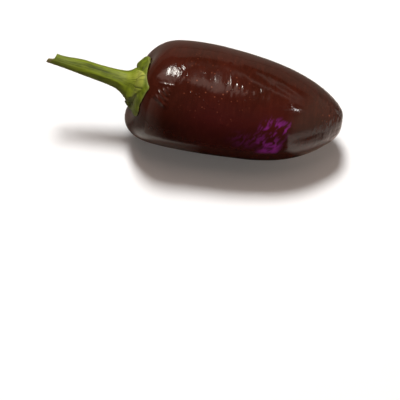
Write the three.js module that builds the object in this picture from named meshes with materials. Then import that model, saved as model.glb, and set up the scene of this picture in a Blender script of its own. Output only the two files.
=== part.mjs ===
// A picked chilli pepper lying on its side: a stout, blunt pod, the calyx that
// clasps its shoulder, and the cut stalk.
// Units are millimetres. +X runs from the stalk to the tip, +Y is away from the
// viewer and +Z is up. The origin is the middle of the footprint, on the surface
// that the pod lies on.

import * as THREE from 'three';
import { mergeVertices } from 'three/addons/utils/BufferGeometryUtils.js';

// ---------------------------------------------------------------- dimensions

// The pod is drawn about its own middle line, from the stalk's dimple (t = 0) to
// the tip (t = 1). Each station is [along the pod, radius, aside].
const POD_STATIONS = [
  [4.7, 0, 0],
  [4.4, 3.5, 0],
  [3.8, 7.4, 0],
  [4.2, 11.6, 0],
  [7.2, 15.0, 0.2],
  [13, 16.6, 0.7],
  [24, 16.9, 0.8],
  [34, 16.3, 0.4],
  [44, 15.1, -0.2],
  [53, 12.8, -0.3],
  [60.5, 8.8, 0],
  [66, 3.7, 0.3],
  [65.6, 0, 0.3],
];
const POD_FLATTENING = 0.95; // height of a section over its width

// Three low lobes run along the pod, one for each seed chamber.
const LOBE_COUNT = 3;
const LOBE_ANGLE = 115; // degrees, middle of the uppermost lobe
const LOBE_HEIGHT = { shoulder: 0.55, middle: 0.18, tip: 0.35 };
const LOBE_SWELL = 1.1; // how far each lobe stands up round the stalk
const LOBE_ROOT = 9; // radius at which a lobe is fully grown

// The shoulder leans: it stands back on top and bulges underneath.
const SHOULDER_LEAN = 3.0;
const SHOULDER_LEAN_ANGLE = 250; // degrees, the side that bulges
const SHOULDER_LEAN_ROOT = 6;
const SHOULDER_REACH = 26; // along the pod, where the lean has died out

// The stalk sits a little above the pod's middle line.
const CROOK_ASIDE = -0.7;
const CROOK_UP = 1.6;
const CROOK_REACH = 22;

const BELLY_TILT = 4; // degrees that the tip hangs lower than the shoulder
const BELLY_FLAT = 0.4; // depth of the flat that the pod's weight presses into it
const REST_AT = 30; // along the pod, the point that the tilt turns about

// The stalk leaves the calyx at a round neck and runs nearly straight to a torn cut.
const NECK = new THREE.Vector3(0.8, -0.35, 2.55); // centre of the neck
const NECK_RADIUS = 4.2;
const STALK_ALONG = new THREE.Vector3(-1, 0.05, 0.19).normalize();
const STALK_STATIONS = [ // [distance from the neck, radius]
  [0, 4.2],
  [1.6, 3.2],
  [4, 2.68],
  [8.5, 2.37],
  [13, 2.24],
  [17, 1.95],
  [21.5, 1.64],
  [22.9, 1.64],
];
const STALK_BOW = { aside: 0.83, up: 0.56, rise: 0.44, droop: 0.32 };
const STALK_RIBS = 5;
const STALK_RIB_HEIGHT = 0.05; // over the stalk's radius
const STALK_RIB_ANGLE = 145; // degrees, one of the ribs
const CUT_SLOPE = 0.3; // how far the cut slants over the stalk's own radius
const CUT_NUB = 1.75; // length of the shred left at the cut
const CUT_NUB_ANGLE = 205; // degrees, where the shred is
const CUT_NUB_WIDTH = { full: 50, none: 92 }; // degrees to either side

// The calyx is a cone round the neck that lies down on the pod's shoulder and ends
// in five pointed teeth: at 47, 121, 165, 265 and 308 degrees. Its rim is listed as
// [angle, how far down the pod it lies as a share of the pod's stations].
const CALYX_ROOT = 0.10;
const CALYX_RIM = [
  [0, 0.185], [9, 0.203], [24, 0.212], [40, 0.222], [47, 0.205], [60, 0.212],
  [78, 0.248], [95, 0.273], [107, 0.292], [115, 0.312], [121, 0.332], [125, 0.322],
  [134, 0.306], [143, 0.293], [154, 0.288], [162, 0.288], [167, 0.276], [173, 0.230],
  [184, 0.188], [195, 0.160], [216, 0.132], [240, 0.130], [256, 0.150], [265, 0.172],
  [274, 0.150], [290, 0.150], [300, 0.185], [308, 0.215], [318, 0.180], [335, 0.150],
];
const CALYX_THICKNESS = 0.7;
const CALYX_CONE = 1.05; // drop of the cone for each millimetre outwards
const CALYX_CONE_REACH = 9;
const CALYX_BLEND = 1.0; // radius of the bend between the cone and the shoulder

const CLEARANCE = 0.3; // between pieces that touch
const SHOULDER_CLEARANCE = 0.4; // under the calyx, where both skins are faceted

const POD_FACES = { around: 56, along: 40 };
const CALYX_FACES = { around: 72, along: 24 };
const STALK_FACES = { around: 30, along: 20 };

// ------------------------------------------------------------------- helpers

const radians = THREE.MathUtils.degToRad;

function smooth(x, from, to) {
  return THREE.MathUtils.smoothstep(x, from, to);
}

// The signed difference of two angles, at most half a turn, in radians.
function turn(phi, degrees) {
  const difference = phi - radians(degrees);
  return Math.atan2(Math.sin(difference), Math.cos(difference));
}

// A point of the uniform cubic B-spline through a list of stations. The ends are
// mirrored in the pod's middle line, so the surface is smooth across both poles.
function splinePoint(stations, t) {
  const last = stations.length - 1;
  const mirror = ([along, radius, aside]) => [along, -radius, aside];
  const points = [mirror(stations[1]), ...stations, mirror(stations[last - 1])];
  const s = THREE.MathUtils.clamp(t, 0, 1) * last;
  const i = Math.min(Math.floor(s), last - 1);
  const u = s - i;
  const weights = [
    (1 - u) ** 3 / 6,
    (3 * u ** 3 - 6 * u ** 2 + 4) / 6,
    (-3 * u ** 3 + 3 * u ** 2 + 3 * u + 1) / 6,
    u ** 3 / 6,
  ];
  return [0, 1, 2].map((k) => weights.reduce((sum, w, j) => sum + w * points[i + j][k], 0));
}

// Bends a closed sphere into another closed skin: each vertex goes to shape(t, phi),
// where t runs from 0 at one pole to 1 at the other and phi goes round.
function mould(faces, shape) {
  const sphere = new THREE.SphereGeometry(1, faces.around, faces.along);
  sphere.deleteAttribute('normal');
  sphere.deleteAttribute('uv');
  const skin = mergeVertices(sphere, 1e-5);
  const position = skin.getAttribute('position');
  const vertex = new THREE.Vector3();
  for (let i = 0; i < position.count; i += 1) {
    vertex.fromBufferAttribute(position, i);
    const t = Math.acos(THREE.MathUtils.clamp(vertex.y, -1, 1)) / Math.PI;
    const phi = Math.atan2(vertex.z, vertex.x);
    const point = shape(t, phi);
    position.setXYZ(i, point.x, point.y, point.z);
  }
  skin.computeVertexNormals();
  return skin;
}

// ----------------------------------------------------------------------- pod

// A point of the pod's skin, in the pod's own frame. phi is 0 on the far side and
// 90 degrees on top.
function podSkin(t, phi) {
  const [along, radius, aside] = splinePoint(POD_STATIONS, t);
  const lobe = Math.cos(LOBE_COUNT * (phi - radians(LOBE_ANGLE)));
  const nearShoulder = 1 - smooth(along, 2, 26);
  const nearTip = smooth(along, 38, 60);
  const height = LOBE_HEIGHT.middle
    + (LOBE_HEIGHT.shoulder - LOBE_HEIGHT.middle) * nearShoulder
    + (LOBE_HEIGHT.tip - LOBE_HEIGHT.middle) * nearTip;
  const grown = smooth(radius, 0, LOBE_ROOT);
  const reach = radius + height * lobe * grown;
  const crook = 1 - smooth(along, -2, CROOK_REACH);
  const lean = -Math.cos(phi - radians(SHOULDER_LEAN_ANGLE))
    * reach / Math.hypot(reach, SHOULDER_LEAN_ROOT);
  const x = along
    + SHOULDER_LEAN * lean * (1 - smooth(along, -2, SHOULDER_REACH))
    - LOBE_SWELL * lobe * grown * (1 - smooth(along, -2, 14));
  const y = reach * Math.cos(phi) + aside + CROOK_ASIDE * crook;
  const z = POD_FLATTENING * reach * Math.sin(phi) + CROOK_UP * crook;
  return new THREE.Vector3(x, y, z);
}

// The outward direction of the pod's skin, from two short steps across it.
function podOutward(t, phi) {
  const step = 1e-3;
  const at = THREE.MathUtils.clamp(t, 2 * step, 1 - 2 * step);
  const along = podSkin(at + step, phi).sub(podSkin(at - step, phi));
  const round = podSkin(at, phi + step).sub(podSkin(at, phi - step));
  return round.cross(along).normalize();
}

// Lays a point of the pod's own frame down as the pepper lies: the tip a little low.
function layDown(point) {
  const tilt = radians(BELLY_TILT);
  const x = point.x - REST_AT;
  return new THREE.Vector3(
    x * Math.cos(tilt) + point.z * Math.sin(tilt),
    point.y,
    -x * Math.sin(tilt) + point.z * Math.cos(tilt),
  );
}

// The pod, lowered into the surface by the belly's flat and pressed level there.
function makePod() {
  const geometry = mould(POD_FACES, (t, phi) => layDown(podSkin(t, phi)));
  geometry.computeBoundingBox();
  const floor = geometry.boundingBox.min.z + BELLY_FLAT;
  const position = geometry.getAttribute('position');
  for (let i = 0; i < position.count; i += 1) {
    position.setZ(i, Math.max(position.getZ(i), floor));
  }
  geometry.computeVertexNormals();
  return { geometry, floor };
}

// --------------------------------------------------------------------- stalk

const STALK_SIDE = new THREE.Vector3(0, 1, 0).projectOnPlane(STALK_ALONG).normalize();
const STALK_UP = new THREE.Vector3().crossVectors(STALK_ALONG, STALK_SIDE).negate();
STALK_UP.multiplyScalar(Math.sign(STALK_UP.z));

// A point beside the stalk's middle line: `out` mm away from the neck, `radius` mm
// off the line, at the angle phi. The line rises a little and droops towards the cut.
function besideStalk(out, radius, phi) {
  const bow = STALK_BOW.rise * smooth(out, 0, 3.5) - STALK_BOW.droop * smooth(out, 13, 21);
  return NECK.clone()
    .addScaledVector(STALK_ALONG, out)
    .addScaledVector(STALK_SIDE, radius * Math.cos(phi) + STALK_BOW.aside * bow)
    .addScaledVector(STALK_UP, radius * Math.sin(phi) + STALK_BOW.up * bow);
}

function stalkRadius(out, phi) {
  const next = STALK_STATIONS.findIndex(([distance]) => distance > out);
  const j = next < 0 ? STALK_STATIONS.length - 1 : Math.max(next, 1);
  const [from, wide] = STALK_STATIONS[j - 1];
  const [to, narrow] = STALK_STATIONS[j];
  const share = THREE.MathUtils.clamp((out - from) / (to - from), 0, 1);
  const ribs = 1 + STALK_RIB_HEIGHT * Math.cos(STALK_RIBS * (phi - radians(STALK_RIB_ANGLE)));
  return THREE.MathUtils.lerp(wide, narrow, share) * ribs;
}

// How far past its even end the stalk reaches at the cut: a slant and a torn shred.
function cutReach(phi) {
  const away = turn(phi, CUT_NUB_ANGLE);
  const { full, none } = CUT_NUB_WIDTH;
  const shred = 1 - smooth(Math.abs(away), radians(full), radians(none));
  return CUT_SLOPE * Math.cos(away) + CUT_NUB * shred;
}

// The stalk's closed skin: the slanted cut, the ribbed side, then a flat base.
function makeStalk() {
  const length = STALK_STATIONS.at(-1)[0];
  const cut = 0.15;
  const base = 0.85;
  return mould(STALK_FACES, (t, phi) => {
    if (t < cut) {
      const outwards = t / cut;
      const out = length + cutReach(phi) * outwards ** 2;
      return besideStalk(out, stalkRadius(length, phi) * outwards, phi);
    }
    if (t > base) {
      const inwards = (1 - t) / (1 - base);
      return besideStalk(CLEARANCE, stalkRadius(CLEARANCE, phi) * inwards, phi);
    }
    const share = (base - t) / (base - cut);
    const out = THREE.MathUtils.lerp(CLEARANCE, length, share ** 1.3);
    return besideStalk(out + cutReach(phi) * share ** 12, stalkRadius(out, phi), phi);
  });
}

// --------------------------------------------------------------------- calyx

// The rim at an angle, straight between the two entries of the list beside it.
function calyxRim(phi) {
  const degrees = (THREE.MathUtils.radToDeg(phi) + 360) % 360;
  const after = CALYX_RIM.findIndex(([angle]) => angle > degrees);
  const j = after < 0 ? CALYX_RIM.length : after;
  const [from, start] = CALYX_RIM[j - 1];
  const [to, end] = j < CALYX_RIM.length ? CALYX_RIM[j] : [360, CALYX_RIM[0][1]];
  return THREE.MathUtils.mapLinear(degrees, from, to, start, end);
}

// The calyx's outer face: a cone out of the neck that bends down on to the shoulder.
function calyxOuter(share, phi) {
  const t = THREE.MathUtils.lerp(CALYX_ROOT, calyxRim(phi), share);
  const edge = Math.sqrt(1 - share ** 8); // the rim's round edge
  const laid = podSkin(t, phi)
    .addScaledVector(podOutward(t, phi), SHOULDER_CLEARANCE + CALYX_THICKNESS * edge);
  const off = laid.clone().sub(NECK);
  const height = off.dot(STALK_ALONG);
  const radius = off.addScaledVector(STALK_ALONG, -height).length();
  const short = -(radius - NECK_RADIUS) * CALYX_CONE - height;
  const lift = (short + Math.hypot(short, CALYX_BLEND)) / 2;
  laid.addScaledVector(STALK_ALONG, lift * (1 - smooth(share, 0.75, 1)));
  const fall = CALYX_CONE_REACH * share;
  const cone = besideStalk(-fall * CALYX_CONE, NECK_RADIUS + fall, phi);
  return cone.lerp(laid, smooth(share, 0, 0.4));
}

// The calyx's closed skin: a flat top under the stalk, the outer face, the rim, and
// an inner face that follows the pod at an even clearance.
function makeCalyx() {
  const top = 0.1;
  const rim = 0.5;
  return mould(CALYX_FACES, (t, phi) => {
    if (t < top) {
      return besideStalk(0, NECK_RADIUS * (t / top), phi);
    }
    if (t < rim) {
      return calyxOuter((t - top) / (rim - top), phi);
    }
    const share = (1 - t) / (1 - rim);
    const at = calyxRim(phi) * share;
    return podSkin(at, phi).addScaledVector(podOutward(at, phi), SHOULDER_CLEARANCE);
  });
}

// ------------------------------------------------------------------ assembly

const PLUM_SKIN = new THREE.MeshStandardMaterial({ color: 0x2c0f0b, roughness: 0.25 });
const GREEN_CALYX = new THREE.MeshStandardMaterial({ color: 0x6a7424, roughness: 0.5 });
const GREEN_STALK = new THREE.MeshStandardMaterial({ color: 0x6f7c2a, roughness: 0.55 });

function named(name, geometry, material) {
  const mesh = new THREE.Mesh(geometry, material);
  mesh.name = name;
  return mesh;
}

function layDownGeometry(geometry) {
  const position = geometry.getAttribute('position');
  const vertex = new THREE.Vector3();
  for (let i = 0; i < position.count; i += 1) {
    const laid = layDown(vertex.fromBufferAttribute(position, i));
    position.setXYZ(i, laid.x, laid.y, laid.z);
  }
  geometry.computeVertexNormals();
  return geometry;
}

function makePepper() {
  const pepper = new THREE.Group();
  const { geometry: pod, floor } = makePod();
  pepper.add(named('pod', pod, PLUM_SKIN));
  pepper.add(named('calyx', layDownGeometry(makeCalyx()), GREEN_CALYX));
  pepper.add(named('pedicel', layDownGeometry(makeStalk()), GREEN_STALK));
  const box = new THREE.Box3().setFromObject(pepper);
  const middle = box.getCenter(new THREE.Vector3());
  pepper.children.forEach((piece) => piece.geometry.translate(-middle.x, -middle.y, -floor));
  return pepper;
}

export default makePepper();
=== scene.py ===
# %% [markdown]
# # A picked chilli pepper
#
# A stout, blunt chilli pepper lies on its side on a pale surface. It has three parts:
# the glossy plum-brown pod, the green calyx that clasps its shoulder, and the cut
# stalk. This notebook makes each part as a surface worked out with numpy, and gives
# it a material built from nodes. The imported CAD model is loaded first, because it
# says how large each part is and where it lies.

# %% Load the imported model
import math

import bpy
import numpy as np
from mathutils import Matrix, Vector


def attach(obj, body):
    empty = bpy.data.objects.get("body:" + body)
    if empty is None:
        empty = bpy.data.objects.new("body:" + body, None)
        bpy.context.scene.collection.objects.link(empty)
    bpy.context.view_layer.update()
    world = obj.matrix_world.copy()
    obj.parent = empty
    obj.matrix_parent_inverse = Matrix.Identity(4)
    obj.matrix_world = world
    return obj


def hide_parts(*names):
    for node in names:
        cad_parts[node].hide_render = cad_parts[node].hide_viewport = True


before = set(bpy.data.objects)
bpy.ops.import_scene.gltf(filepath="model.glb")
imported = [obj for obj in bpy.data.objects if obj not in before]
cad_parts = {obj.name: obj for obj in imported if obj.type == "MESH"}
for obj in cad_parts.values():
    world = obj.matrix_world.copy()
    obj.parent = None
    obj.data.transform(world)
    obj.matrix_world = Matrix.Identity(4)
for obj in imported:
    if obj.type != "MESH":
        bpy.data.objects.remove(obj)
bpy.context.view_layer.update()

# %% [markdown]
# ## The camera
#
# The pepper is seen from above, at about 60 degrees, with the stalk to the left. A
# camera can be placed by eye in the viewport, but here it is worked out: it stands
# on a sphere round a target point, and its lens is chosen so that one pixel covers
# 0.3 mm at the target. The picture's frame is 400 pixels wide, and the pepper lies in
# its upper half, so the camera looks at a point in front of the pepper.

# %% Place the camera
AZIMUTH, ELEVATION = math.radians(9.0), math.radians(60.0)
TARGET = Vector((0.0056, -0.0263, -0.0001))
DISTANCE = 0.45
PIXEL = 0.0003  # metres that one pixel covers at the target
FRAME_WIDTH = 400


def towards_camera():
    """The direction from the target to the camera: azimuth 0 stands on the -Y side."""
    level = math.cos(ELEVATION)
    return Vector((math.sin(AZIMUTH) * level, -math.cos(AZIMUTH) * level, math.sin(ELEVATION)))


camera_data = bpy.data.cameras.new("camera")
camera_data.sensor_fit = "HORIZONTAL"
camera_data.angle = 2 * math.atan(FRAME_WIDTH * PIXEL / 2 / DISTANCE)
camera_data.clip_start = 0.01
camera = bpy.data.objects.new("camera", camera_data)
bpy.context.collection.objects.link(camera)
camera.location = TARGET + DISTANCE * towards_camera()
camera.rotation_euler = (-towards_camera()).to_track_quat("-Z", "Y").to_euler()
bpy.context.scene.camera = camera
print("lens angle, degrees:", round(math.degrees(camera_data.angle), 2))

# %% [markdown]
# ## Small tools for surfaces
#
# Every part is a skin over a grid of two numbers: `t` runs from one end of the part
# to the other, and `phi` goes round it. Where `t` ends, the whole row shrinks to one
# point, so the skin is closed, as a sphere is at its poles. Blender could also make
# these shapes from curves and modifiers, but a formula keeps the parts exactly where
# the CAD model has them and allows wrinkles to be added as heights.

# %% Numbers between two values
def smooth(x, start, end):
    """0 before start, 1 after end, and an even S-bend between them."""
    share = np.clip((x - start) / (end - start), 0.0, 1.0)
    return share * share * (3 - 2 * share)


def turn(phi, degrees):
    """The signed angle from `degrees` to phi, between half a turn back and half a turn on."""
    return (phi - np.radians(degrees) + np.pi) % (2 * np.pi) - np.pi


def bump(x, middle, width):
    """A bell: 1 in the middle, and about a third of that one width away."""
    return np.exp(-(((x - middle) / width) ** 2))


def unit(vectors):
    """The same directions with length 1."""
    return vectors / np.maximum(np.linalg.norm(vectors, axis=-1, keepdims=True), 1e-12)


# %% A grid of t and phi
def grid(rows, around):
    """t for each row from 0 to 1, and phi for each column over one whole turn."""
    t = np.linspace(0.0, 1.0, rows)
    phi = np.arange(around) * 2 * np.pi / around
    return np.meshgrid(t, phi, indexing="ij")


def finer_on_top(phi, degrees, share):
    """Draws the columns together round one angle and apart on the other side: the
    sine of the angle from there, times the share, is taken off."""
    return phi - share * np.sin(phi - np.radians(degrees))


# %% Seeded noise that closes round a part
def hills(u, v, around, seed):
    """Soft random hills from -1 to 1. Each whole number of u and v has a random height,
    and the heights between them are blended evenly. v repeats after `around` cells."""
    heights = np.random.default_rng(seed).uniform(-1.0, 1.0, (61, around))
    i, j = np.floor(u).astype(int), np.floor(v).astype(int)
    p, q = u - i, v - j
    p = p * p * p * (p * (6 * p - 15) + 10)
    q = q * q * q * (q * (6 * q - 15) + 10)
    low = heights[i % 61, j % around] * (1 - q) + heights[i % 61, (j + 1) % around] * q
    high = heights[(i + 1) % 61, j % around] * (1 - q)
    high = high + heights[(i + 1) % 61, (j + 1) % around] * q
    return low * (1 - p) + high * p


def creases(u, v, around, seed):
    """Sharp random ridges: 1 on a line where the hills cross zero, 0 away from it."""
    return 1 - np.minimum(np.abs(hills(u, v, around, seed)) * 2.4, 1.0)


sample = float(hills(np.array(0.5), np.array(0.5), 8, 1))
print("the noise half-way into its first cell:", round(sample, 3))

# %% [markdown]
# ## From numbers to a mesh
#
# A mesh needs the corner points and, for each face, the numbers of its corners. The
# grid gives both: the face between two rows and two columns has four corners, and at
# each end a fan of triangles closes the skin. The faces are listed so that they all
# look outwards, and the volume inside the skin shows whether they do.

# %% Build a closed skin
def skin_faces(rows, around):
    """Corner numbers of the four-sided faces, then of the triangles at the two ends."""
    ring = 1 + np.arange((rows - 2) * around).reshape(rows - 2, around)
    after = np.roll(ring, -1, axis=1)
    quads = np.stack([ring[:-1], after[:-1], after[1:], ring[1:]], -1).reshape(-1, 4)
    first = np.stack([np.zeros(around, int), after[0], ring[0]], -1)
    end = np.full(around, (rows - 2) * around + 1)
    last = np.stack([end, ring[-1], after[-1]], -1)
    return quads, np.vstack([first, last])


def skin_volume(points, quads, triangles):
    """The volume inside the skin: the sum of the boxes that each triangle spans with
    the origin, over six. It is negative where the faces look inwards."""
    halves = np.vstack([quads[:, [0, 1, 2]], quads[:, [0, 2, 3]], triangles])
    a, b, c = (points[halves[:, k]] for k in range(3))
    return float(np.einsum("ij,ij->i", a, np.cross(b, c)).sum() / 6)


def closed_skin(name, surface, **measures):
    """A closed, smooth-shaded mesh object from a grid of points in millimetres. Each
    measure is a grid of numbers that the material can read under its own name."""
    rows, around = surface.shape[:2]

    def as_list(values):
        middle = values[1:-1].reshape((rows - 2) * around, -1)
        return np.vstack([values[:1, 0].reshape(1, -1), middle, values[-1:, 0].reshape(1, -1)])

    points = as_list(surface) / 1000
    quads, triangles = skin_faces(rows, around)
    volume = skin_volume(points, quads, triangles)
    if volume < 0:
        quads, triangles = quads[:, ::-1], triangles[:, ::-1]
    mesh = bpy.data.meshes.new(name)
    mesh.from_pydata(points.tolist(), [], quads.tolist() + triangles.tolist())
    mesh.polygons.foreach_set("use_smooth", np.ones(len(mesh.polygons), bool))
    for key, values in measures.items():
        layer = mesh.attributes.new(key, "FLOAT", "POINT")
        layer.data.foreach_set("value", as_list(values[..., None]).ravel().astype(np.float32))
    mesh.update()
    piece = bpy.data.objects.new(name, mesh)
    bpy.context.collection.objects.link(piece)
    count = 2 * len(quads) + len(triangles)
    print(name, "triangles:", count, "volume, cm3:", round(abs(volume) * 1e6, 2))
    return piece


# %% [markdown]
# ## The pod's plain shape
#
# The pod is a fruit that swelled round three seed chambers, so its sections are
# nearly round, with three low lobes. It is widest behind the shoulder and ends in a
# blunt tip. The stations below give its radius along the middle line, and a smooth
# curve through them gives every radius between. The shoulder leans, because the pod
# hung from a bent stalk and grew faster on one side.

# %% The pod's stations, in millimetres
POD_STATIONS = np.array([  # along the pod, radius, aside
    (4.7, 0, 0),
    (4.4, 3.5, 0),
    (3.8, 7.4, 0),
    (4.2, 11.6, 0),
    (7.2, 15.0, 0.2),
    (13, 16.6, 0.7),
    (24, 16.9, 0.8),
    (34, 16.3, 0.4),
    (44, 15.1, -0.2),
    (53, 12.8, -0.3),
    (60.5, 8.8, 0),
    (66, 3.7, 0.3),
    (65.6, 0, 0.3),
])
POD_FLATTENING = 0.95  # its height over its width
LOBE_ANGLE = math.radians(115)
BELLY_TILT = math.radians(4)
REST_AT = 30.0  # how far along the pod the point lies that it is tilted about
ORIGIN_SHIFT = np.array([8.82, -0.93, 15.20])  # from the pod's own frame to the model's


def along_stations(t):
    """The smooth curve through the stations: each point is a weighted mean of four
    neighbouring stations, with cubic weights that add up to one. Past both ends the
    stations are mirrored in the middle line, so the skin is smooth across its poles."""
    mirror = np.array([1, -1, 1])
    points = np.vstack([POD_STATIONS[1] * mirror, POD_STATIONS, POD_STATIONS[-2] * mirror])
    spans = len(POD_STATIONS) - 1
    s = np.clip(t, 0, 1) * spans
    i = np.minimum(s.astype(int), spans - 1)
    u = (s - i)[..., None]
    weights = [
        (1 - u) ** 3 / 6,
        (3 * u**3 - 6 * u**2 + 4) / 6,
        (-3 * u**3 + 3 * u**2 + 3 * u + 1) / 6,
        u**3 / 6,
    ]
    return sum(weight * points[i + k] for k, weight in enumerate(weights))


# %% A point of the plain pod
def pod_skin(t, phi):
    """Each section is a circle of the station's radius, a little low, with three lobes
    as a cosine of three times the angle. The shoulder is pushed along the pod by an
    amount that depends on the angle, so that it leans."""
    stations = along_stations(t)
    along, radius, aside = stations[..., 0], stations[..., 1], stations[..., 2]
    lobe = np.cos(3 * (phi - LOBE_ANGLE))
    height = 0.18 + 0.37 * (1 - smooth(along, 2, 26)) + 0.17 * smooth(along, 38, 60)
    grown = smooth(radius, 0, 9)
    reach = radius + height * lobe * grown
    crook = 1 - smooth(along, -2, 22)
    lean = -np.cos(phi - math.radians(250)) * reach / np.hypot(reach, 6)
    x = along + 3.0 * lean * (1 - smooth(along, -2, 26))
    x = x - 1.1 * lobe * grown * (1 - smooth(along, -2, 14))
    y = reach * np.cos(phi) + aside - 0.7 * crook
    z = POD_FLATTENING * reach * np.sin(phi) + 1.6 * crook
    return np.stack([x, y, z], -1)


def pod_outward(t, phi):
    """The direction out of the plain skin: square to a short step along it and to a
    short step round it."""
    step = 1e-3
    at = np.clip(t, 2 * step, 1 - 2 * step)
    forward = pod_skin(at + step, phi) - pod_skin(at - step, phi)
    sideways = pod_skin(at, phi + step) - pod_skin(at, phi - step)
    return unit(np.cross(sideways, forward))


def lay_down(points):
    """Turns the pod's own frame by the belly's tilt, and moves it to where it rests."""
    x, y, z = points[..., 0] - REST_AT, points[..., 1], points[..., 2]
    cosine, sine = math.cos(BELLY_TILT), math.sin(BELLY_TILT)
    turned = np.stack([x * cosine + z * sine, y, z * cosine - x * sine], -1)
    return turned + ORIGIN_SHIFT


# %% [markdown]
# ## The pod's wrinkles
#
# This pepper is a few days old, and its skin has begun to shrink. Fine wrinkles run
# across the pod on the upper side, a fan of short ones runs over the shoulder beside
# the calyx, and more gather at the tip. On such a glossy skin they show as broken,
# bright threads. A bump map would only change the shading, so the wrinkles here are
# real heights along the outward direction: a few hundredths of a millimetre for most,
# up to two tenths for the single creases, and up to three quarters of a millimetre for
# the folds beside the calyx.

# %% Wrinkles that run across the pod
def cross_wrinkles(along, phi):
    """Thin ridges one or two millimetres apart along the pod and three to five
    millimetres long round it. They bend a little, come in patches, and fade out away
    from the upper side."""
    turns = phi / (2 * np.pi)
    bend = 1.6 * hills(along / 6, turns * 15, 15, 11)
    fine = hills(along / 0.8 + bend, turns * 34, 34, 12)
    coarse = hills(along / 1.9 + bend, turns * 22, 22, 13)
    where = smooth(along, 15, 20) * (1 - smooth(along, 40, 52))
    where = where * (0.5 + 0.5 * smooth(along, 26, 31))
    upper = bump(np.degrees(turn(phi, 97)), 0, 34)
    patches = smooth(hills(along / 4, turns * 19, 19, 14), -0.2, 0.5)
    return where * upper * (0.04 * fine * (0.15 + 0.85 * patches) + 0.035 * coarse)


# %% Crinkles all over
def crinkles(along, phi):
    """Small dents about a millimetre across, deepest where the light strikes the
    shoulder, and faint elsewhere. Two sizes are added so that no grid shows."""
    turns = phi / (2 * np.pi)
    small = hills(along / 0.9 + 3 * turns, turns * 100, 100, 15)
    large = hills(along / 1.7 - 2 * turns, turns * 60, 60, 16)
    spot = bump(along, 14.2, 3.3) * bump(np.degrees(turn(phi, 101)), 0, 17)
    return (0.006 + 0.022 * spot) * small + (0.008 + 0.025 * spot) * large


# %% Wrinkles over the shoulder
def shoulder_wrinkles(along, phi):
    """Ridges that run slantwise from the calyx, where the skin folds over the
    shoulder: equal values lie on lines of along less a share of the angle."""
    angle = np.degrees(turn(phi, 128))
    slant = along - 0.30 * angle
    lines = hills(slant / 0.85, phi / (2 * np.pi) * 12, 12, 21)
    where = bump(along, 11.5, 4.0) * bump(angle, 0, 14)
    return 0.055 * lines * where


# %% Wrinkles round the tip
def tip_wrinkles(along, radius, phi):
    """Ridges that meet at the tip, as in a drawn purse, with small cross-folds."""
    turns = phi / (2 * np.pi)
    spokes = hills(along / 5, turns * 30, 30, 31)
    folds = hills(along / 0.7 + 3 * turns, turns * 26, 26, 32)
    where = smooth(along, 54, 62) * smooth(radius, 0.4, 3)
    return where * (0.05 * spokes + 0.075 * folds)


# %% Marks in places of their own
CREASES = [  # along, angle, length, slant in degrees, width, height
    (12.4, 115.2, 5.4, 86, 0.28, 0.14),
    (15.6, 107, 4.4, -18, 0.32, 0.22),
    (14.9, 96.5, 2.4, 40, 0.28, 0.17),
    (16.6, 94.5, 1.8, 42, 0.28, 0.12),
    (31.1, 95, 8.0, 11, 0.26, 0.055),
    (30.2, 75.5, 0.9, 0, 0.30, 0.12),
    (33.4, 103, 1.8, 5, 0.28, 0.13),
    (35.0, 104, 1.8, 12, 0.28, 0.11),
    (38.6, 106, 1.6, 8, 0.28, 0.13),
    (40.5, 101, 2.0, 6, 0.28, 0.14),
    (49.3, 108, 1.2, 60, 0.36, 0.12),
    (25.5, 127.5, 0.9, 55, 0.30, 0.14),
    (27.4, 130.5, 0.8, 20, 0.30, 0.12),
    (25.8, 85, 1.4, 5, 0.30, 0.09),
    (20.5, 88, 1.2, 5, 0.28, 0.10),
    (30.6, 145.5, 0.9, 50, 0.30, 0.14),
]
FOLDS = [  # along, angle, length, slant in degrees, half the width
    (11.2, 132.0, 5.0, 54, 0.90),
    (11.7, 127.6, 4.4, 54, 0.75),
    (12.4, 123.6, 3.0, 54, 0.60),
    (13.1, 120.5, 2.0, 54, 0.45),
]


def beside_line(along, radius, phi, middle, angle, slant):
    """Distances across and down a line on the skin that passes through one point:
    distances on the skin are along the pod and radius times angle."""
    forward = along - middle
    sideways = radius * turn(phi, angle)
    cosine, sine = math.cos(math.radians(slant)), math.sin(math.radians(slant))
    return forward * cosine - sideways * sine, forward * sine + sideways * cosine


def single_creases(along, radius, phi):
    """Each crease is a short, straight ridge: a narrow bell across its line, and level
    along it with quickly falling ends."""
    total = np.zeros_like(along)
    for middle, angle, length, slant, width, height in CREASES:
        across, down = beside_line(along, radius, phi, middle, angle, slant)
        total += height * bump(across, 0, width) * np.exp(-((2 * down / length) ** 4))
    return total


def shoulder_folds(along, radius, phi):
    """Longer folds with straight flanks, like small tents. Their flanks are steeper
    lower down the side, so that one lamp glints on their whole length."""
    steep = np.tan(np.radians(33) + 0.74 * turn(phi, 124))
    uneven = 1 + 0.06 * hills(along / 0.9, phi / (2 * np.pi) * 70, 70, 43)
    total = np.zeros_like(along)
    for middle, angle, length, slant, half in FOLDS:
        across, down = beside_line(along, radius, phi, middle, angle, slant)
        tent = np.maximum(0, 1.06 - np.hypot(across / half, 0.06))
        total += half * steep * uneven * tent * np.exp(-((2 * down / length) ** 4))
    return total


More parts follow.
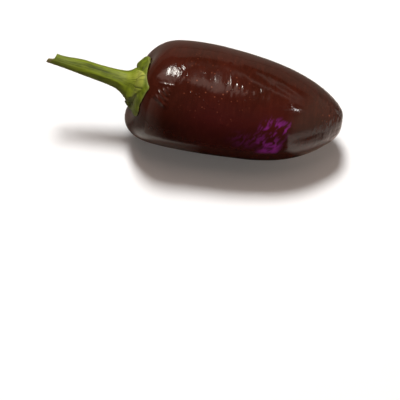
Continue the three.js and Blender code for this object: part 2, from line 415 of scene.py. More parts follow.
# %% A full shoulder, a furrow and the notch at the tip
def slow_shape(along, radius, phi):
    """Wide, shallow changes: uneven cheeks, a fullness at the shoulder and a slanting
    furrow on the upper side; and a narrow notch at the tip."""
    turns = phi / (2 * np.pi)
    uneven = 0.10 * hills(along / 11, turns * 8, 8, 41)
    uneven = uneven + 0.05 * hills(along / 5, turns * 16, 16, 42)
    furrow_angle = 79 + 20 * (along - 34) / 18
    furrow = bump(np.degrees(phi) % 360, furrow_angle, 6.5) * bump(along, 44, 10)
    notch = bump(radius * turn(phi, 86), 0, 0.5) * bump(along, 64.6, 1.4)
    mound = 0.12 * bump(along, 16.4, 2.0) + 0.35 * bump(along, 17, 8)
    mound = mound * bump(np.degrees(turn(phi, 100)), 0, 28)
    return uneven * smooth(radius, 2, 10) + mound - 0.25 * furrow - 0.8 * notch


# %% Add all the heights to the plain skin
ROWS_AT = (
    [0, 0.03, 0.17, 0.32, 0.80, 1],  # share of the rows
    [0, 0.10, 0.32, 0.45, 0.86, 1],  # t there
)


def wrinkled_pod(rows, around):
    """The plain skin, moved outwards by the sum of all the heights, laid down, and
    pressed level where it rests on the surface. Most rows and columns go where the
    wrinkles are."""
    share, phi = grid(rows, around)
    t = np.interp(share, *ROWS_AT)
    phi = finer_on_top(phi, 105, 0.38)
    stations = along_stations(t)
    along, radius = stations[..., 0], stations[..., 1]
    height = cross_wrinkles(along, phi) + shoulder_wrinkles(along, phi)
    height = height + crinkles(along, phi) + tip_wrinkles(along, radius, phi)
    height = height + single_creases(along, radius, phi) + shoulder_folds(along, radius, phi)
    height = height + slow_shape(along, radius, phi)
    height = height * smooth(radius, 0, 3)
    points = lay_down(pod_skin(t, phi) + height[..., None] * pod_outward(t, phi))
    points[..., 2] = np.maximum(points[..., 2], 0.0)
    return points, along, radius, phi


# %% Where the skin is purple
def purple_blush(along, radius, phi):
    """A patch low on the near side, sharp towards the tip and fading towards the
    stalk. Streaks cut it up: lines of along plus a share of the distance round. It is
    solid only at its lower edge, and unevenly worn."""
    angle = np.degrees(turn(phi, 150))
    turns = phi / (2 * np.pi)
    slanted = along + 0.5 * radius * np.radians(angle)
    slanted = slanted + 0.5 * hills(along / 1.6, turns * 44, 44, 73)
    back = slanted - 5.5 * smooth(angle, 8, 19)
    patch = smooth(back, 39.2, 42.4) * (1 - smooth(along + 0.06 * (angle + 15), 49.5, 51.5))
    patch = patch * smooth(angle, -26, -10) * (1 - smooth(angle, 26, 34))
    patch = patch * (1 - 0.6 * bump(angle, 5, 7))
    faint = 0.3 * bump(along, 38, 3.2) * bump(angle, 12, 9)
    streaks = 0.65 * hills(slanted / 0.62, turns * 46, 46, 71)
    streaks = streaks + 0.8 * hills(slanted / 0.36, turns * 76, 76, 72)
    solid = smooth(angle, 7, 17)
    brushed = smooth(streaks, -0.1 - 0.9 * solid, 0.65 - 0.35 * solid)
    worn = 0.72 + 0.28 * hills(slanted / 1.3, turns * 30, 30, 74)
    return np.clip((patch + faint * (1 - patch)) * brushed * worn, 0, 1)


def red_flush(along, phi):
    """Painted light: a wide, weak reddening that brightens the near side between the shoulder and
    the patch, which the lamps leave dim.
    """
    angle = np.degrees(turn(phi, 148))
    return smooth(along, 12, 28) * (1 - smooth(along, 47, 54)) * bump(angle, 0, 26)


def crinkled(along, phi):
    """How crinkled the skin is, up to 1: most at the shoulder's bright spot, less at
    the tip, and a little on the upper side."""
    angle = np.degrees(turn(phi, 98))
    upper = smooth(along, 17, 24) * (1 - smooth(along, 42, 56)) * bump(angle, 0, 34)
    spot = bump(along, 14.8, 3.4) * bump(angle, 2, 18)
    tip = smooth(along, 53, 61)
    return np.clip(0.18 * upper + spot + 0.6 * tip, 0, 1)


def dotted(along, phi):
    """1 where tiny pimples and reddish dots of painted glint dot the skin: on the near side,
    below the bright shoulder, and at the tip."""
    angle = np.degrees(turn(phi, 112))
    near = smooth(along, 15, 20) * (1 - smooth(along, 32, 40)) * bump(angle, 0, 27)
    return near + bump(along, 61, 2.2) * bump(angle, -5, 22)


# %% Make the pod
POD_ROWS, POD_COLUMNS = 380, 258

pod_points, pod_along, pod_radius, pod_phi = wrinkled_pod(POD_ROWS, POD_COLUMNS)
pod = closed_skin(
    "pod_skin",
    pod_points,
    blush=purple_blush(pod_along, pod_radius, pod_phi),
    flush=red_flush(pod_along, pod_phi),
    crinkled=crinkled(pod_along, pod_phi),
    dotted=dotted(pod_along, pod_phi),
)

# %% [markdown]
# ## The stalk and the calyx
#
# The stalk is a rounded, five-sided rod with fibres along it. Where it meets the
# pod it flares and runs without a step into the calyx, a leathery cap whose five
# teeth are what is left of the flower. Both are made here with one rib function, so
# that a rib that starts at the cut goes on over the calyx.

# %% The neck, where the stalk and the calyx meet
NECK = np.array([0.8, -0.35, 2.55])  # in the pod's own frame, in millimetres
NECK_RADIUS = 4.2
STALK_ALONG = unit(np.array([-1.0, 0.05, 0.19]))
STALK_SIDE = unit(np.array([0.0, 1.0, 0.0]) - STALK_ALONG * STALK_ALONG[1])
STALK_UP = np.cross(STALK_SIDE, STALK_ALONG)
STALK_UP = STALK_UP * np.sign(STALK_UP[2])
STALK_EDGE = 145  # degrees, the edge between the stalk's upper face and its lower one


def beside_stalk(out, radius, phi):
    """A point `out` mm from the neck along the stalk's line and `radius` mm off it. The
    line itself rises a little past the neck and droops towards the cut."""
    bow = 0.44 * smooth(out, 0, 3.5) - 0.32 * smooth(out, 13, 21)
    side = (radius * np.cos(phi) + bow * 0.83)[..., None] * STALK_SIDE
    up = (radius * np.sin(phi) + bow * 0.56)[..., None] * STALK_UP
    return NECK + out[..., None] * STALK_ALONG + side + up


# %% Edges and fibres
def twist(out):
    """The stalk turns a little towards its cut end, in radians."""
    return math.radians(26) * smooth(out, 9, 18)


def stalk_edges(phi):
    """1 on each of five lengthwise edges and 0 half-way between them, pointed at the
    edge: one minus the absolute sine of two and a half times the angle."""
    return 1 - np.abs(np.sin(2.5 * turn(phi, STALK_EDGE)))


def fibres(phi, out):
    """Lengthwise ridges with fine furrows between them, from -1 to 1. They wander a
    little along the stalk."""
    cells = phi / (2 * np.pi)
    wander = 0.5 * hills(out / 9, cells * 5, 5, 51)
    broad = hills(out / 30, cells * 22 + wander, 22, 52)
    lines = creases(out / 22, cells * 40 + wander, 40, 53)
    fine = creases(out / 14, cells * 90 + 2 * wander, 90, 54)
    return np.clip(0.6 * broad + 0.6 - 1.2 * lines**3 - 0.7 * fine**2, -1, 1)


# %% The stalk's radius and its torn end
STALK_LENGTH = 22.9
FIBRE_HEIGHT = 0.05
SHRED_ANGLE = 205  # degrees, the side where a tongue of bark tore off


def flare(out):
    """The stalk's mean radius: a rod that widens towards the neck, faster and faster."""
    rod = 2.46 - 0.22 * smooth(out, 3, 14) - 0.60 * smooth(out, 13, 21.5)
    return rod + 1.82 * np.exp(-out / 2.0)


def stalk_radius(out, phi):
    """The mean radius with edges and fibres. At the neck both are as on the calyx."""
    grown = smooth(out, 0, 3) * (1 - 0.4 * smooth(out, 10, 18))
    edges = 0.10 * (stalk_edges(phi - twist(out)) - 0.36) * grown
    return flare(out) * (1 + edges) + FIBRE_HEIGHT * fibres(phi, out)


def shred(phi):
    """1 over the tongue of bark that tore off with the stalk, and 0 elsewhere."""
    return 1 - smooth(np.abs(np.degrees(turn(phi, SHRED_ANGLE))), 50, 92)


def cut_reach(phi):
    """How far the torn end reaches past its even end: a slant and one blunt shred."""
    return 0.3 * np.cos(turn(phi, SHRED_ANGLE)) + 1.75 * shred(phi)


# %% Make the stalk
def stalk_surface(rows, around):
    """From the middle of the cut outwards, along the side to the neck, and back to the
    middle line inside the calyx. The cut face is hollow and rough, and the shred
    stands on it as thick as half the stalk."""
    t, phi = grid(rows, around)
    cut, base = 0.16, 0.95  # t at the edge of the cut face, and at the neck
    across = np.clip(t / cut, 0, 1)
    share = np.clip((base - t) / (base - cut), 0, 1)
    out = STALK_LENGTH * share**1.15
    side = beside_stalk(out + cut_reach(phi) * share**16, stalk_radius(out, phi), phi)
    rough = 0.10 * hills(across * 5, phi / (2 * np.pi) * 14, 14, 55)
    thick = cut_reach(phi) * smooth(across, 0.0, 0.12)
    reach = STALK_LENGTH + thick + (rough - 0.35) * (1 - across**3) * smooth(across, 0, 0.2)
    end_radius = stalk_radius(np.full_like(t, STALK_LENGTH), phi)
    end = beside_stalk(reach, end_radius * np.sqrt(across * (2 - across)), phi)
    inwards = np.clip((1 - t) / (1 - base), 0, 1)
    inside = beside_stalk(0.5 * (1 - inwards), stalk_radius(0 * t, phi) * inwards, phi)
    points = np.where((t < cut)[..., None], end, np.where((t > base)[..., None], inside, side))
    out = np.where(t < cut, STALK_LENGTH, out)
    torn = smooth(share, 0.965, 0.99) * smooth(cut_reach(phi), 0.3, 1.2)
    return lay_down(points), out, phi, np.where(t < cut, 1.0, torn)


STALK_ROWS, STALK_COLUMNS = 250, 260
# The angle where the painted highlight and the wear on the flare are strongest.
KNUCKLE_HIGHLIGHT_ANGLE = 103  # degrees, where the flare is palest

stalk_points, stalk_out, stalk_phi, wound = stalk_surface(STALK_ROWS, STALK_COLUMNS)
# Paler near the neck: worn ribs with a painted highlight.
stalk_wear_and_highlight = 0.3 * (1 - smooth(stalk_out, 0, 7))
stalk = closed_skin(
    "stalk",
    stalk_points,
    fibre=0.5 + 0.5 * fibres(stalk_phi, stalk_out),
    wound=wound,
    distance=stalk_out / STALK_LENGTH,
    knuckle=stalk_wear_and_highlight * bump(np.degrees(turn(stalk_phi, KNUCKLE_HIGHLIGHT_ANGLE)), 0, 30),
)

# %% The calyx's rim and its five teeth
RIM = np.array([  # angle, how far down the pod the rim lies, as a share of its stations
    (0, 0.185), (9, 0.203), (24, 0.212), (40, 0.222), (47, 0.205), (60, 0.212),
    (78, 0.248), (95, 0.273), (107, 0.292), (115, 0.312), (121, 0.332), (125, 0.322),
    (134, 0.306), (143, 0.293), (154, 0.288), (162, 0.288), (167, 0.276), (173, 0.230),
    (184, 0.188), (195, 0.160), (216, 0.132), (240, 0.130), (256, 0.150), (265, 0.172),
    (274, 0.150), (290, 0.150), (300, 0.185), (308, 0.215), (318, 0.180), (335, 0.150),
])
CALYX_ROOT = 0.10  # t on the pod at the calyx's inner end
CALYX_CLEAR = 0.35  # mm between the calyx's inner face and the pod
THICK_STEP = 0.35  # mm that the thick part stands over the collar, at least


def calyx_rim(phi):
    """The rim runs straight from one point of the list to the next, rounded over three
    degrees, with a finely uneven edge."""
    degrees = np.degrees(phi)
    shifted = [np.interp(degrees + d, *RIM.T, period=360) for d in (-1.5, 0, 1.5)]
    return sum(shifted) / 3 + 0.003 * hills(phi * 0, phi / (2 * np.pi) * 40, 40, 61)


# %% Where the thick part of the calyx ends
THICK_EDGE = np.array([  # angle, distance from the stalk's line in mm
    (0, 4.6), (60, 4.8), (75, 5.8), (90, 7.9), (97, 10.2), (102, 12.2), (112, 12.9),
    (118, 13.5), (124, 13.6), (131, 11.4), (140, 8.9), (150, 6.8), (160, 6.0), (170, 5.3),
    (185, 4.7), (220, 4.8), (280, 4.8), (320, 4.6),
])


def thick_edge(phi):
    """The edge of the thick part, which carries on the stalk's flare, by the angle."""
    degrees = np.degrees(phi)
    shifted = [np.interp(degrees + d, *THICK_EDGE.T, period=360) for d in (-3, 0, 3)]
    return sum(shifted) / 3 + 0.25 * hills(phi * 0, phi / (2 * np.pi) * 30, 30, 63)


def cone_height(radius):
    """The flare falls away quickly at the neck and flattens out, as one minus an
    exponential of the distance from the stalk's line."""
    flat = -2.5 * (1 - np.exp(-(radius - NECK_RADIUS) / 2.0))
    return flat - 0.3 * np.maximum(radius - 8.5, 0)


# %% The calyx's outer face
def calyx_outer(share, phi):
    """A thin collar lies on the pod's shoulder. On it stands the thick part: as high as
    the flare, and at least 0.35 mm over the collar, up to a steep edge. The collar
    itself stands off the pod on the far side and below the stalk. Also returns how
    much of the thick part is left at each point, from 1 to 0."""
    t = CALYX_ROOT + (calyx_rim(phi) - CALYX_ROOT) * share
    thickness = 0.30 + 0.4 * np.sqrt(1 - share**8)
    laid = pod_skin(t, phi) + thickness[..., None] * pod_outward(t, phi)
    off = laid - NECK
    height = off @ STALK_ALONG
    radius = np.linalg.norm(off - height[..., None] * STALK_ALONG, axis=-1)
    short = cone_height(radius) - height - THICK_STEP
    edge = thick_edge(phi)
    thick = 1 - smooth(radius, edge - 0.3, edge + 0.3)
    lift = THICK_STEP + (short + np.hypot(short, 0.3)) / 2
    lift = thick * lift * (1 - smooth(share, 0.93, 1))
    degrees = np.degrees(phi)
    far = 2.1 * bump(degrees, 32, 44) + 2.1 * bump(degrees, 392, 44)
    near = 1.0 * bump(degrees, 222, 30)
    lift = np.maximum(lift, far * (1 - 0.7 * smooth(share, 0.5, 1.0)))
    lift = np.maximum(lift, near * (1 - smooth(share, 0.4, 1.0)))
    laid = laid + lift[..., None] * STALK_ALONG
    fall = 9 * share
    cone = beside_stalk(cone_height(NECK_RADIUS + fall), NECK_RADIUS + fall, phi)
    blend = smooth(share, 0, 0.35)[..., None]
    return cone * (1 - blend) + laid * blend, thick


def calyx_relief(share, phi, thick):
    """Ribs that fan out over the thick part, faint veins down the teeth, and a hollow
    on the near side."""
    turns = phi / (2 * np.pi)
    veins = hills(share * 3, turns * 70, 70, 62) * smooth(share, 0.1, 0.4)
    fold = bump(np.degrees(turn(phi, 196)), 0, 13) * bump(share, 0.6, 0.25)
    return 0.15 * fibres(phi, 0 * share) * thick + 0.05 * veins - 0.5 * fold


# %% Make the calyx
def calyx_surface(rows, around):
    """From a hidden middle point to the neck, over the outer face to the rim, round the
    rim, and back along the pod's skin."""
    t, phi = grid(rows, around)
    top, rim = 0.04, 0.72  # t at the neck, and at the rim
    share = np.clip((t - top) / (rim - top), 0, 1)
    outer, thick = calyx_outer(share, phi)
    sideways = np.roll(outer, -1, 1) - np.roll(outer, 1, 1)
    outward = unit(np.cross(sideways, np.gradient(outer, axis=0)))
    raise_by = calyx_relief(share, phi, thick) * smooth(share, 0.0, 0.12) * np.sqrt(1 - share**10)
    at_neck = FIBRE_HEIGHT * fibres(phi, 0 * share) * (1 - smooth(share, 0, 0.2))
    outer = outer + (raise_by + at_neck)[..., None] * outward
    cap = beside_stalk(-0.5 * (1 - t / top), stalk_radius(0 * t, phi) * (t / top), phi)
    back = np.clip((1 - t) / (1 - rim), 0, 1)
    under = calyx_rim(phi) * back
    inner = pod_skin(under, phi) + CALYX_CLEAR * pod_outward(under, phi)
    points = np.where((t < top)[..., None], cap, np.where((t > rim)[..., None], inner, outer))
    return lay_down(points), share, phi, thick


CALYX_ROWS, CALYX_COLUMNS = 200, 440

calyx_points, calyx_share, calyx_phi, calyx_thick = calyx_surface(CALYX_ROWS, CALYX_COLUMNS)
# Paler over the thick part, towards its edge: worn ribs with a painted highlight.
calyx_wear_and_highlight = calyx_thick * (0.3 + 0.7 * smooth(calyx_share, 0.05, 0.6))
calyx = closed_skin(
    "calyx_cap",
    calyx_points,
    fibre=0.5 + 0.5 * fibres(calyx_phi, 0 * calyx_share),
    knuckle=calyx_wear_and_highlight * bump(np.degrees(turn(calyx_phi, KNUCKLE_HIGHLIGHT_ANGLE)), 0, 26),
    outwards=calyx_share,
    thick=calyx_thick,
)

# %% [markdown]
# ## Small tools for materials
#
# A material is a network of nodes. The helper below makes a node and fills its
# inputs: a number or a colour is set on the input, and another node's output is
# linked to it. The pepper's colours are written as they look on a screen, and turned
# into the linear values that the renderer works with.

# %% Nodes and colours
def linear(red, green, blue):
    """A colour from linear values of 0 to 1, with an alpha of 1."""
    return (red, green, blue, 1.0)


def screen(red, green, blue):
    """A colour from screen values of 0 to 255, turned into linear ones."""
    values = np.array([red, green, blue]) / 255
    dark, bright = values / 12.92, ((values + 0.055) / 1.055) ** 2.4
    return linear(*np.where(values <= 0.04045, dark, bright).tolist())


def new_material(name):
    """A material with nodes, its node tree, and its main shader."""
    material = bpy.data.materials.new(name)
    material.use_nodes = True
    return material, material.node_tree, material.node_tree.nodes["Principled BSDF"]


def fill(tree, socket, value):
    """Links the value to the input if it is an output, and else sets it."""
    if isinstance(value, bpy.types.NodeSocket):
        tree.links.new(value, socket)
    else:
        socket.default_value = value


def add(tree, kind, inputs=None, **settings):
    """A new node of this kind, with its settings made and its inputs filled."""
    made = tree.nodes.new(kind)
    for key, value in settings.items():
        setattr(made, key, value)
    for key, value in (inputs or {}).items():
        fill(tree, made.inputs[key], value)
    return made


# %% Patterns that the materials share
def place(tree, scale=(1.0, 1.0, 1.0)):
    """The point in the piece's own coordinates, in metres, stretched by scale."""
    point = add(tree, "ShaderNodeTexCoord").outputs["Object"]
    return add(tree, "ShaderNodeMapping", {"Vector": point, "Scale": scale}).outputs["Vector"]


def speckle(tree, size_mm, detail=2.0, stretch=(1.0, 1.0, 1.0), distortion=0.0):
    """Noise whose spots are about size_mm across, from 0 to 1."""
    inputs = {"Scale": 1000 / size_mm, "Detail": detail, "Distortion": distortion}
    inputs["Vector"] = place(tree, stretch)
    return add(tree, "ShaderNodeTexNoise", inputs).outputs["Fac"]


def dots(tree, spacing_mm, radius_mm):
    """Round dots at random places, about spacing_mm apart: 1 in the middle of a dot and
    0 outside it."""
    inputs = {"Vector": place(tree), "Scale": 1000 / spacing_mm}
    distance = add(tree, "ShaderNodeTexVoronoi", inputs).outputs["Distance"]
    return ramp(tree, distance, radius_mm / spacing_mm, 0.0)


def measure(tree, name):
    """A number that was stored at the mesh's points."""
    return add(tree, "ShaderNodeAttribute", attribute_name=name).outputs["Fac"]


def ramp(tree, value, start, end):
    """0 where the value is under start, 1 where it is over end."""
    inputs = {"Value": value, "From Min": start, "From Max": end}
    made = add(tree, "ShaderNodeMapRange", inputs, clamp=True)
    return made.outputs["Result"]


def mix(tree, factor, first, second):
    """A colour between two colours."""
    made = add(tree, "ShaderNodeMix", data_type="RGBA")
    fill(tree, made.inputs["Factor"], factor)
    fill(tree, made.inputs[6], first)
    fill(tree, made.inputs[7], second)
    return made.outputs[2]


def times(tree, first, second):
    """The product of two numbers."""
    made = add(tree, "ShaderNodeMath", operation="MULTIPLY")
    fill(tree, made.inputs[0], first)
    fill(tree, made.inputs[1], second)
    return made.outputs[0]


def plus(tree, first, second):
    """The sum of two numbers."""
    made = add(tree, "ShaderNodeMath", operation="ADD")
    fill(tree, made.inputs[0], first)
    fill(tree, made.inputs[1], second)
    return made.outputs[0]


def relief(tree, shader, height, distance_mm, strength=1.0):
    """Small bumps in the shading: height 0 to 1 over distance_mm."""
    inputs = {"Height": height, "Distance": distance_mm / 1000, "Strength": strength}
    fill(tree, shader.inputs["Normal"], add(tree, "ShaderNodeBump", inputs).outputs["Normal"])


# %% [markdown]
# ## The pod's skin
#
# The skin is a smooth, waxy layer over dark flesh. It is nearly black-brown, with a
# redder tone of painted light on the near side, where light comes through, and a purple
# blush low on the near side, brushed on in streaks that follow the wrinkles. A plain
# colour would look like plastic, so noises of different sizes shift the colour and the
# gloss, and tiny reddish dots of painted glint lie on the near side and at the tip.

# %% Plum skin
def plum_skin():
    """Brown in two tones, a darker grain, a red wash of painted light on the near side, the purple
    blush and reddish dots of painted glint; and a relief of fine threads and pimples."""
    material, tree, shader = new_material("plum_skin")
    patches = speckle(tree, 14, detail=3)
    grain = speckle(tree, 1.6, detail=3, stretch=(1.6, 0.5, 0.5))
    colour = mix(tree, ramp(tree, patches, 0.35, 0.65), screen(48, 18, 8), screen(62, 22, 13))
    colour = mix(tree, times(tree, ramp(tree, grain, 0.45, 0.8), 0.5), colour, screen(76, 31, 19))
    # Painted light: a red wash that brightens the near side, which the lamps leave dim.
    colour = mix(tree, times(tree, measure(tree, "flush"), 0.5), colour, screen(84, 24, 26))
    colour = mix(tree, measure(tree, "blush"), colour, screen(158, 52, 158))
    # Painted glint: reddish dots over the same area as the pimples.
    painted_glints = times(tree, dots(tree, 1.4, 0.30), measure(tree, "dotted"))
    colour = mix(tree, times(tree, painted_glints, 0.8), colour, screen(158, 86, 60))
    fill(tree, shader.inputs["Base Color"], colour)
    shader.inputs["IOR"].default_value = 1.46
    gloss = ramp(tree, speckle(tree, 5, detail=3), 0.2, 0.8)
    rough = add(tree, "ShaderNodeMapRange", {"Value": gloss, "To Min": 0.11, "To Max": 0.18})
    fill(tree, shader.inputs["Roughness"], rough.outputs["Result"])
    threads = speckle(tree, 1.1, detail=3, stretch=(1.7, 0.6, 0.6), distortion=0.6)
    threads = times(tree, threads, measure(tree, "crinkled"))
    pimples = times(tree, dots(tree, 1.7, 0.34), measure(tree, "dotted"))
    relief(tree, shader, plus(tree, threads, times(tree, pimples, 0.9)), 0.16)
    return material


pod.data.materials.append(plum_skin())

# %% [markdown]
# ## The green parts
#
# The calyx and the stalk are matt and fibrous. Their ribs are paler and yellower than
# the furrows between them, because the furrows hold painted shade and more green. Where
# the flare turns, the ribs are paler still: worn, with a painted highlight. The rib
# heights were stored at the mesh's points, so the colour follows the shape exactly.
# The cut end has dried to a pale brown.

# %% The green that both parts share
def ribbed_green(tree):
    """Furrows darkened with painted shade, lighter ribs, and pale and dark mottles along them; and
    where the flare turns, worn ribs with a painted highlight.
    """
    fibre = measure(tree, "fibre")
    mottle = speckle(tree, 1.3, detail=4, stretch=(0.4, 1.0, 1.0))
    colour = mix(tree, ramp(tree, fibre, 0.1, 0.8), screen(60, 70, 6), screen(112, 126, 16))
    colour = mix(tree, times(tree, ramp(tree, mottle, 0.5, 0.7), 0.5), colour, screen(124, 136, 34))
    colour = mix(tree, times(tree, ramp(tree, mottle, 0.5, 0.3), 0.5), colour, screen(66, 78, 8))
    # Painted highlight over worn ribs where the flare turns.
    pale = times(tree, measure(tree, "knuckle"), ramp(tree, fibre, 0.1, 0.8))
    return mix(tree, pale, colour, screen(186, 190, 86))


# %% Green of the stalk
def green_stalk():
    """The shared green, turning greyer towards the cut, and dried where it tore."""
    material, tree, shader = new_material("green_stalk")
    towards_cut = ramp(tree, measure(tree, "distance"), 0.55, 1.0)
    colour = mix(tree, times(tree, towards_cut, 0.6), ribbed_green(tree), screen(106, 118, 46))
    uneven = times(tree, speckle(tree, 1.2, detail=3), 0.3)
    dried = ramp(tree, plus(tree, measure(tree, "wound"), uneven), 0.4, 0.8)
    colour = mix(tree, dried, colour, screen(132, 122, 78))
    fill(tree, shader.inputs["Base Color"], colour)
    shader.inputs["Roughness"].default_value = 0.55
    shader.inputs["IOR"].default_value = 1.4
    thread = speckle(tree, 0.5, detail=3, stretch=(0.2, 1.0, 1.0))
    relief(tree, shader, thread, 0.10)
    return material


# %% Green of the calyx
def green_calyx():
    """Leaf green on the thin collar, the shared green on the thick part, a pale rim."""
    material, tree, shader = new_material("green_calyx")
    mottle = ramp(tree, speckle(tree, 1.6, detail=4), 0.4, 0.7)
    leaf = mix(tree, mottle, screen(80, 92, 12), screen(116, 130, 28))
    colour = mix(tree, measure(tree, "thick"), leaf, ribbed_green(tree))
    rim = times(tree, ramp(tree, measure(tree, "outwards"), 0.94, 1.0), 0.7)
    colour = mix(tree, rim, colour, screen(130, 134, 66))
    fill(tree, shader.inputs["Base Color"], colour)
    shader.inputs["Roughness"].default_value = 0.5
    shader.inputs["IOR"].default_value = 1.4
    relief(tree, shader, speckle(tree, 0.6, detail=3), 0.05)
    return material


stalk.data.materials.append(green_stalk())
calyx.data.materials.append(green_calyx())

# %% [markdown]
# ## Joining the pieces to the imported model
#
# The imported model moves and collides; these pieces are what is seen. Each new piece
# rides on the model's one body and stands for the solid of the same part.

# %% Ride and replace
for piece, node, finish in (
    (pod, "pod", "plum_skin"),
    (calyx, "calyx", "green_calyx"),
    (stalk, "pedicel", "green_stalk"),
):
    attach(piece, "root")
    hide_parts(node)
    print(piece.name, "stands for", node)

# %% [markdown]
# ## The floor and the light
#
# The pepper lies on a plain, nearly white surface. A glossy skin is like a dark mirror:
# what it shows is mostly the room. So two kinds of light are set apart here, which a
# photographer can't do but Blender can. The key lamp and the fill lamp only brighten
# surfaces, and are not seen in the skin. The lamp face and the side lamp are only seen
# in the skin, as the bright spot on the shoulder and the glints on the folds. A dim
# panel overhead, the walls and the floor draw the paler patches and the band round the
# outline. For rays that come from the skin, the floor has other tones than for the
# camera: mostly darker, with a pale strip in front of the shoulder. A dark card that
# only the skin sees stands in front of the pod.

# %% Paint the floor
def soft_area(tree, point, *edges):
    """1 inside an area with soft edges, 0 outside it: the product of one ramp for each
    edge, which is given as its axis and where its ramp starts and ends."""
    mask = 1.0
    for axis, start, end in edges:
        mask = times(tree, mask, ramp(tree, point[axis], start, end))
    return mask


def reflected_tone(tree):
    """What the skin sees of the floor, painted for its reflections: brighter towards the tip,
    darker behind the pod, nearly black in front of its middle as painted shade, a pale strip
    in front of the shoulder as a painted reflection of lit floor, and a dark spot in front
    of the tip, a painted shadow."""
    point = add(tree, "ShaderNodeSeparateXYZ", {"Vector": place(tree)}).outputs
    rightward = ramp(tree, point["X"], -0.02, 0.05)
    tone = mix(tree, rightward, linear(0.24, 0.20, 0.17), linear(0.98, 0.90, 0.82))
    tone = mix(tree, ramp(tree, point["Y"], 0.0, 0.03), tone, linear(0.13, 0.11, 0.09))
    front = (("X", -0.006, 0.004), ("Y", 0.0, -0.008), ("X", 0.037, 0.034))
    tone = mix(tree, soft_area(tree, point, *front), tone, linear(0.03, 0.025, 0.02))
    near = (("X", 0.003, -0.009), ("X", -0.032, -0.022), ("Y", -0.013, -0.017))
    strip = soft_area(tree, point, *near, ("Y", -0.034, -0.026))
    tone = mix(tree, strip, tone, linear(0.86, 0.83, 0.75))
    away = add(tree, "ShaderNodeVectorMath", operation="DISTANCE")
    fill(tree, away.inputs[0], place(tree))
    away.inputs[1].default_value = (0.064, -0.034, 0.0)
    # Painted shadow, seen only in the skin's reflection.
    painted_shadow_spot = ramp(tree, away.outputs["Value"], 0.020, 0.006)
    return mix(tree, painted_shadow_spot, tone, linear(0.10, 0.07, 0.05))


def pale_surface():
    """Nearly white to the camera, and the reflected tone to every other ray."""
    material, tree, shader = new_material("pale_surface")
    seen = add(tree, "ShaderNodeLightPath").outputs["Is Camera Ray"]
    tone = mix(tree, seen, reflected_tone(tree), linear(0.9, 0.9, 0.9))
    fill(tree, shader.inputs["Base Color"], tone)
    shader.inputs["Roughness"].default_value = 0.7
    return material


# %% Lay the floor
def sheet(name, corners, material):
    """A flat, four-cornered sheet that is only part of the stage."""
    mesh = bpy.data.meshes.new(name)
    mesh.from_pydata(corners, [], [(0, 1, 2, 3)])
    mesh.materials.append(material)
    laid = bpy.data.objects.new(name, mesh)
    bpy.context.collection.objects.link(laid)
    return laid


HALF = 2.0  # metres, half the floor's side
BELOW = -0.00005  # metres, just under the pepper, so that they never share a plane
floor_corners = [(-HALF, -HALF), (HALF, -HALF), (HALF, HALF), (-HALF, HALF)]
floor = sheet("floor", [(x, y, BELOW) for x, y in floor_corners], pale_surface())


# %% Hang the lamps
def hang_lamp(name, shape, direction, distance, wide, deep, watts):
    """A lamp in that direction from the pepper, facing it. Its width and depth are the
    angles that they show from the pepper, in degrees."""
    lamp = bpy.data.lights.new(name, "AREA")
    lamp.shape = shape
    lamp.size = 2 * distance * math.tan(math.radians(wide / 2))
    lamp.size_y = 2 * distance * math.tan(math.radians(deep / 2))
    lamp.energy = watts
    hung = bpy.data.objects.new(name, lamp)
    bpy.context.collection.objects.link(hung)
    hung.location = Vector(direction).normalized() * distance
    hung.rotation_euler = Vector(direction).to_track_quat("Z", "Y").to_euler()
    return hung


key_lamp = hang_lamp("key_lamp", "DISK", (-0.12, 0.35, 0.93), 1.0, 16, 16, 10.6)
key_lamp.visible_glossy = False

lamp_face = hang_lamp("lamp_face", "ELLIPSE", (-0.12, 0.325, 0.94), 0.8, 7, 23, 4.5)
lamp_face.data.color = (1.0, 0.98, 0.91)
lamp_face.visible_diffuse = False

side_lamp = hang_lamp("side_lamp", "DISK", (0.62, -0.12, 0.77), 0.8, 2.2, 2.2, 0.2)
side_lamp.visible_diffuse = False

fill_lamp = hang_lamp("fill_lamp", "DISK", (0.1, -0.8, 0.6), 0.9, 50, 50, 1.1)
fill_lamp.visible_glossy = False

overhead = (-0.13, 0.11, 0.99)
ceiling_panel = hang_lamp("ceiling_panel", "RECTANGLE", overhead, 0.9, 25, 45, 1.25)
ceiling_panel.data.color = (1.0, 0.76, 0.66)


# %% Stand a dark card in front
def card_paint():
    """Nearly black, so that the skin's near side shows painted shade in reflection; and pale at its
    left end, a painted reflection of lit floor.
    """
    material, tree, shader = new_material("black_card")
    sideways = add(tree, "ShaderNodeSeparateXYZ", {"Vector": place(tree)}).outputs["X"]
    fade = ramp(tree, sideways, -0.018, -0.008)
    tone = mix(tree, fade, linear(0.85, 0.71, 0.61), linear(0.02, 0.02, 0.02))
    fill(tree, shader.inputs["Base Color"], tone)
    shader.inputs["Roughness"].default_value = 1.0
    return material


LEFT, RIGHT, FORWARD, HIGH = -0.020, 0.036, -0.025, 0.05  # metres
card_edges = [(LEFT, 0), (RIGHT, 0), (RIGHT, HIGH), (LEFT, HIGH)]
card = sheet("dark_card", [(x, FORWARD, z) for x, z in card_edges], card_paint())
card.visible_camera = False
card.visible_diffuse = False
card.visible_shadow = False


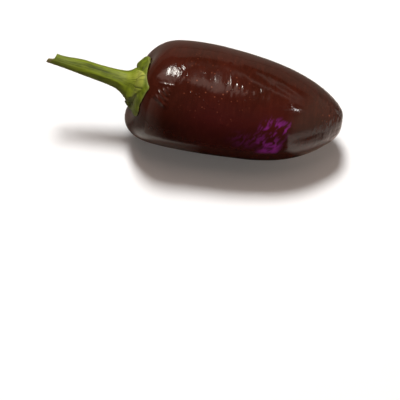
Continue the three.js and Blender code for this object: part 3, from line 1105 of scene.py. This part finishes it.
# %% Paint the room
def room_band(tree, ray, parts):
    """1 on a soft band: near a plane through the pepper, which is where the ray's part
    along the plane's normal is small, and only to the right and behind."""
    aside = add(tree, "ShaderNodeVectorMath", operation="DOT_PRODUCT")
    fill(tree, aside.inputs[0], ray)
    aside.inputs[1].default_value = (0.557, 0.515, -0.651)
    aside = add(tree, "ShaderNodeMath", {0: aside.outputs["Value"]}, operation="ABSOLUTE")
    band = ramp(tree, aside.outputs[0], 0.10, 0.0)
    edges = (("X", 0.05, 0.25), ("X", 0.80, 0.40), ("Y", 0.1, 0.3))
    return times(tree, band, soft_area(tree, parts, *edges))


def paint_room():
    """The brightness depends on the height above the horizon: paler low down, then a
    quick fall to a dark ceiling. Towards the viewer and to the left the wall is darker,
    to the right it reaches higher, and a soft band rises over the far corner."""
    world = bpy.data.worlds.new("room")
    bpy.context.scene.world = world
    world.use_nodes = True
    tree = world.node_tree
    ray = add(tree, "ShaderNodeTexCoord").outputs["Generated"]
    parts = add(tree, "ShaderNodeSeparateXYZ", {"Vector": ray}).outputs
    low, high = math.sin(math.radians(22.5)), math.sin(math.radians(26.5))
    inputs = {"Value": parts["Z"], "From Min": low, "From Max": high}
    rise = add(tree, "ShaderNodeMapRange", inputs, clamp=True, interpolation_type="SMOOTHSTEP")
    left = ramp(tree, parts["X"], -0.1, -0.5)
    wall = mix(tree, left, linear(0.27, 0.21, 0.17), linear(0.17, 0.12, 0.09))
    wall = mix(tree, ramp(tree, parts["Y"], -0.6, -0.9), wall, linear(0.03, 0.03, 0.03))
    tone = mix(tree, rise.outputs["Result"], wall, linear(0.015, 0.015, 0.015))
    right = soft_area(tree, parts, ("X", 0.50, 0.72), ("Z", 0.85, 0.62))
    tone = mix(tree, right, tone, linear(0.56, 0.42, 0.33))
    tone = mix(tree, room_band(tree, ray, parts), tone, linear(0.9, 0.75, 0.65))
    fill(tree, tree.nodes["Background"].inputs["Color"], tone)


paint_room()
bpy.context.scene.view_settings.view_transform = "Standard"

# %% [markdown]
# ## Updating the scene
#
# The visible model must fill the same box as the CAD model.

# %% Update the scene and finish
bpy.context.view_layer.update()
